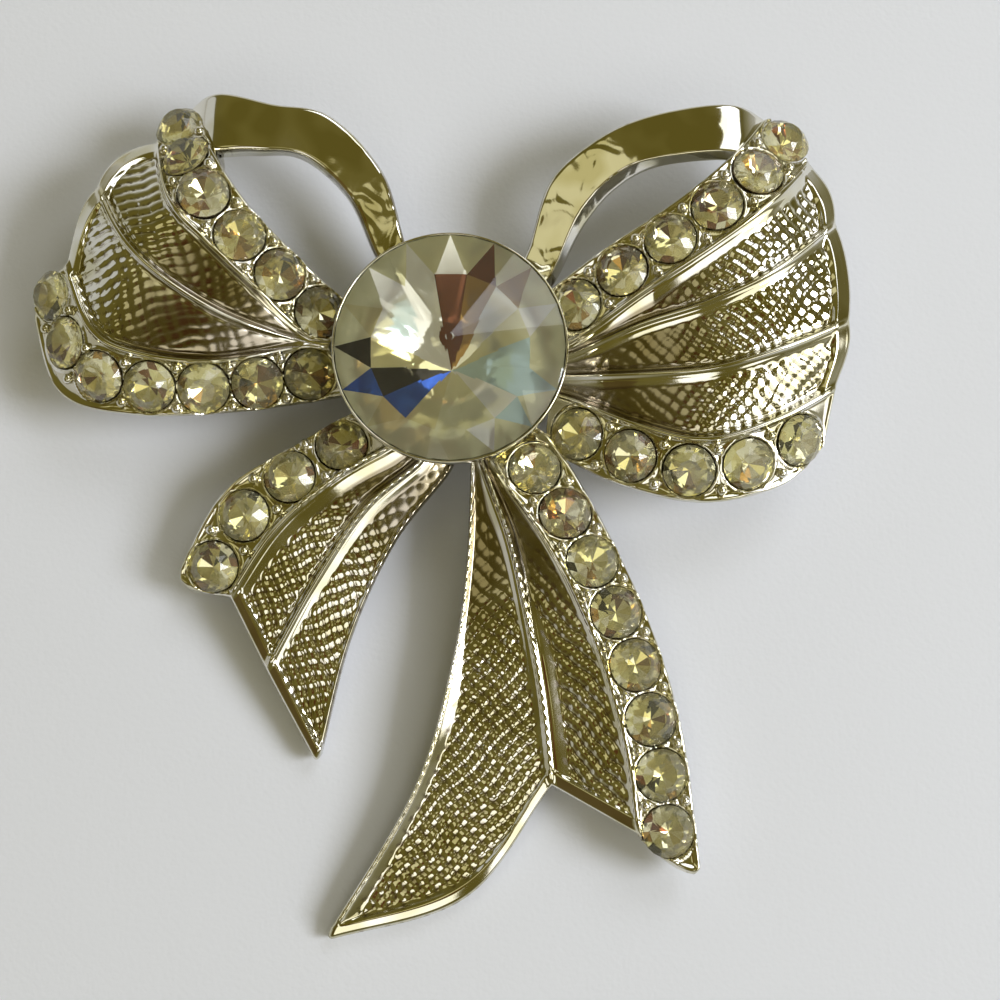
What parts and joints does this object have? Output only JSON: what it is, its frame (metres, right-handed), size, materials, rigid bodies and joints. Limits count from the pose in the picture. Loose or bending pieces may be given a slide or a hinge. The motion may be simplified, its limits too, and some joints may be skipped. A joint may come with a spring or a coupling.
{
  "type": "bow brooch",
  "caption": "Cast metal bow brooch with pleated mesh loops and tails, rows of small round stones, a large pointed round stone on the hub and a pin on the back.",
  "frame": {"origin": "under the middle of the brooch's box, on the surface that it lies on", "axes": "+Z out of its face, +Y towards the top of the bow, +X towards the right loop as seen from the front"},
  "size_m": [0.0567, 0.0579, 0.012],
  "materials": {
    "plated_metal": "bright silver-tone plate over a cast zinc alloy, with a fine woven relief",
    "clear_stone": "clear cut crystal glass with a silver foil back",
    "small_stone": "clear to pale champagne cut crystal glass with a foil back",
    "pin_metal": "plain silver-tone plated steel"
  },
  "bodies": {
    "root": {"bow_casting": "plated_metal", "centre_stone": "clear_stone", "pin_back": "pin_metal", "left_upper_stone_1": "small_stone", "left_upper_stone_2": "small_stone", "left_upper_stone_3": "small_stone", "left_upper_stone_4": "small_stone", "left_upper_stone_5": "small_stone", "left_upper_stone_6": "small_stone", "left_lower_stone_1": "small_stone", "left_lower_stone_2": "small_stone", "left_lower_stone_3": "small_stone", "left_lower_stone_4": "small_stone", "left_lower_stone_5": "small_stone", "left_lower_stone_6": "small_stone", "left_lower_stone_7": "small_stone", "right_upper_stone_1": "small_stone", "right_upper_stone_2": "small_stone", "right_upper_stone_3": "small_stone", "right_upper_stone_4": "small_stone", "right_upper_stone_5": "small_stone", "right_upper_stone_6": "small_stone", "right_lower_stone_1": "small_stone", "right_lower_stone_2": "small_stone", "right_lower_stone_3": "small_stone", "right_lower_stone_4": "small_stone", "right_lower_stone_5": "small_stone", "left_tail_stone_1": "small_stone", "left_tail_stone_2": "small_stone", "left_tail_stone_3": "small_stone", "left_tail_stone_4": "small_stone", "right_tail_stone_1": "small_stone", "right_tail_stone_2": "small_stone", "right_tail_stone_3": "small_stone", "right_tail_stone_4": "small_stone", "right_tail_stone_5": "small_stone", "right_tail_stone_6": "small_stone", "right_tail_stone_7": "small_stone", "right_tail_stone_8": "small_stone"}
  },
  "joints": []
}
